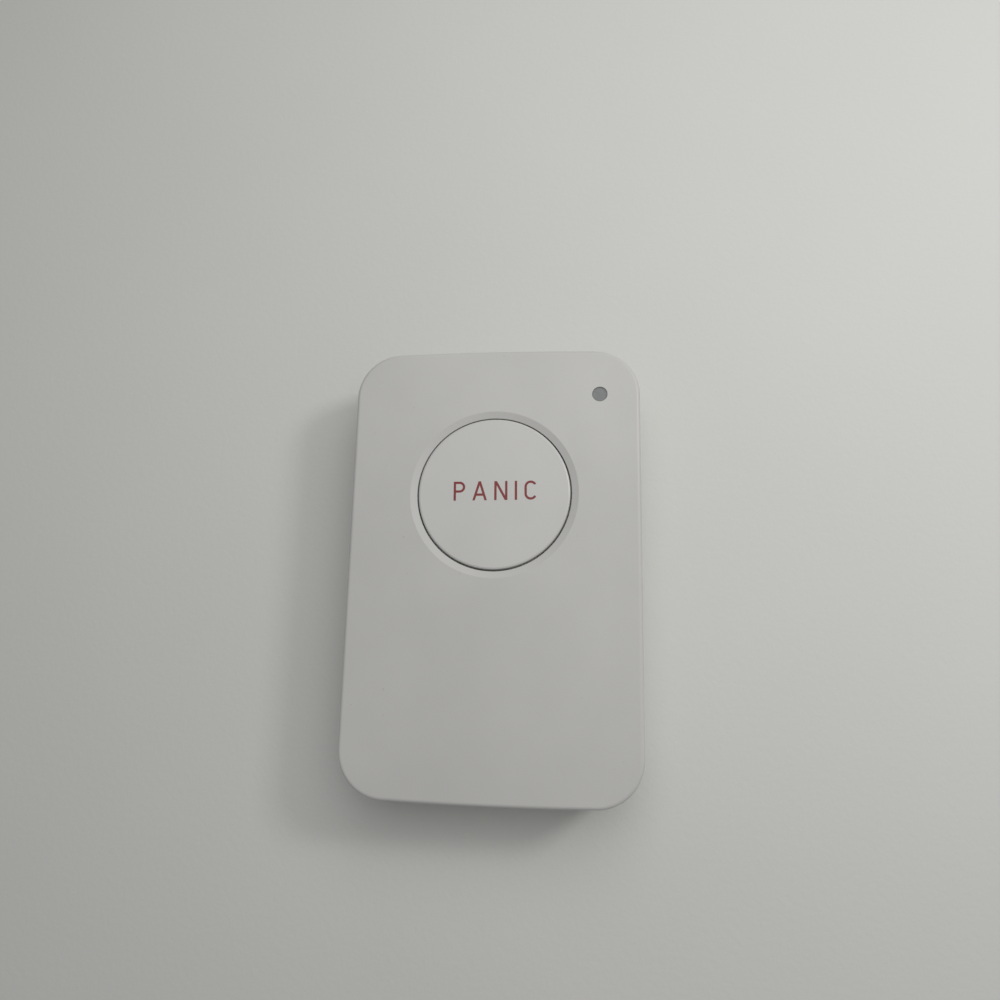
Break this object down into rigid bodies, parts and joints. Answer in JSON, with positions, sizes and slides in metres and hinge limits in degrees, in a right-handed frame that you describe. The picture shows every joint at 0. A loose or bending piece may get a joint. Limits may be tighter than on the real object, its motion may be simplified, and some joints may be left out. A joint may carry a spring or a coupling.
{
  "type": "wireless panic button",
  "caption": "Small rounded-rectangle wireless transmitter with a large round push button, a pilot lamp window and a sliding battery door at the back.",
  "frame": {"origin": "centre of the flat back face", "axes": "+Z out of the front face, +Y towards the lamp end, +X to the right seen from the front"},
  "size_m": [0.045, 0.069, 0.013],
  "materials": {
    "housing_plastic": "fine satin moulded plastic, off-white",
    "button_plastic": "fine satin moulded plastic, off-white",
    "smoked_window": "polished smoked clear plastic",
    "lamp_resin": "clear moulded resin",
    "black_plastic": "moulded, slightly satin",
    "chip_resin": "dull moulded resin",
    "spring_steel": "drawn spring steel",
    "bright_steel": "nickel-plated, fine brushed",
    "zinc_steel": "bright zinc plate",
    "tinned_metal": "tin plate",
    "antenna_strip": "bare bent strip",
    "board_laminate": "solder-resist laminate",
    "capacitor_ceramic": "fired ceramic",
    "resistor_ceramic": "glazed film on ceramic"
  },
  "bodies": {
    "housing": {"front_cover": "housing_plastic", "rear_cover": "housing_plastic", "return_spring": "spring_steel", "switch_body": "black_plastic", "switch_frame": "bright_steel", "snap_dome": "spring_steel", "switch_terminals": "tinned_metal", "status_lamp": "lamp_resin", "lamp_window": "smoked_window", "circuit_board": "board_laminate", "microcontroller": "chip_resin", "microcontroller_leads": "tinned_metal", "radio_chip": "chip_resin", "crystal": "bright_steel", "capacitors": "capacitor_ceramic", "resistors": "resistor_ceramic", "inductors": "chip_resin", "loop_antenna": "antenna_strip", "coin_cell": "bright_steel", "battery_holder": "black_plastic", "positive_contact": "spring_steel", "negative_contact": "spring_steel", "case_screws": "zinc_steel", "board_screws": "zinc_steel"},
    "button": {"button_cap": "button_plastic"},
    "plunger": {"switch_plunger": "black_plastic"},
    "door": {"battery_door": "housing_plastic"}
  },
  "joints": [
    {"name": "button_press", "type": "slide", "parent": "housing", "child": "button", "axis": [0, 0, -1], "range_m": [0, 0.0005], "stiffness_N_per_m": 2000, "springref_m": -0.0005, "deforming": ["return_spring"]},
    {"name": "plunger_press", "type": "slide", "parent": "housing", "child": "plunger", "axis": [0, 0, -1], "range_m": [0, 0.0005], "deforming": ["snap_dome"]},
    {"name": "door_slide", "type": "slide", "parent": "housing", "child": "door", "axis": [0, -1, 0], "range_m": [0, 0.0285]}
  ],
  "couplings": [
    {"joint": "plunger_press", "follows": "button_press", "ratio": 1}
  ]
}
